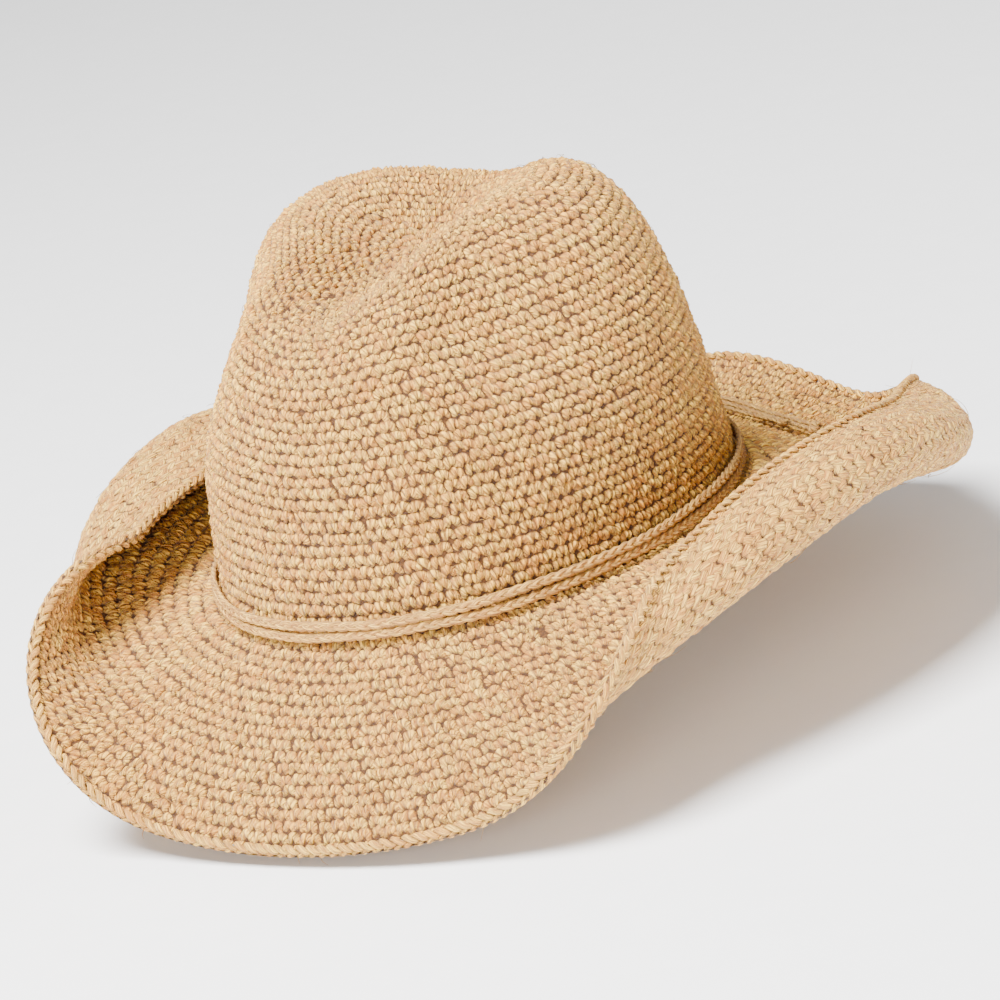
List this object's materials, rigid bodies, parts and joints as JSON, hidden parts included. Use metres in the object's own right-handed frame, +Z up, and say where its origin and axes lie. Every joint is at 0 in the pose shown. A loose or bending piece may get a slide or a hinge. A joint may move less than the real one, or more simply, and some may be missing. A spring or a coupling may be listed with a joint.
{
  "type": "cowboy hat",
  "caption": "Crocheted raffia cowboy hat with a pinched crown, a brim rolled up at both sides, a braided cord hatband tied at the back, and an elastic sweatband inside.",
  "frame": {"origin": "centre of the head opening, on the line where the crown meets the brim", "axes": "+Z up out of the head, -Y towards the hat's front, +X towards the wearer's left"},
  "size_m": [0.2963, 0.3262, 0.1768],
  "materials": {
    "raffia": "matt natural raffia, crocheted",
    "raffia_edge": "matt natural raffia, chain stitched",
    "raffia_braid": "matt natural raffia, braided",
    "steel_wire": "bright drawn wire",
    "brass": "satin",
    "ribbon": "ribbed grosgrain",
    "elastic": "ribbed elastic web",
    "label_cloth": "plain woven satin, blank"
  },
  "bodies": {
    "hat": {"crown": "raffia", "brim": "raffia", "brim_edge_chain": "raffia_edge", "brim_wire": "steel_wire", "brim_wire_ferrule": "brass", "sweatband": "ribbon", "sweatband_elastic": "elastic", "sweatband_join_tab": "ribbon", "size_label": "label_cloth"},
    "hatband": {"hatband_lower_cord": "raffia_braid", "hatband_upper_cord": "raffia_braid", "hatband_knot": "raffia_braid", "hatband_tail_1": "raffia_braid", "hatband_tail_2": "raffia_braid", "hatband_tail_3": "raffia_braid", "hatband_tail_4": "raffia_braid", "hatband_tail_1_knot": "raffia_braid", "hatband_tail_2_knot": "raffia_braid", "hatband_tail_3_knot": "raffia_braid", "hatband_tail_4_knot": "raffia_braid"}
  },
  "joints": [
    {"name": "hatband_lift", "type": "slide", "parent": "hat", "child": "hatband", "axis": [0, 0, 1], "range_m": [0, 0.14]}
  ]
}
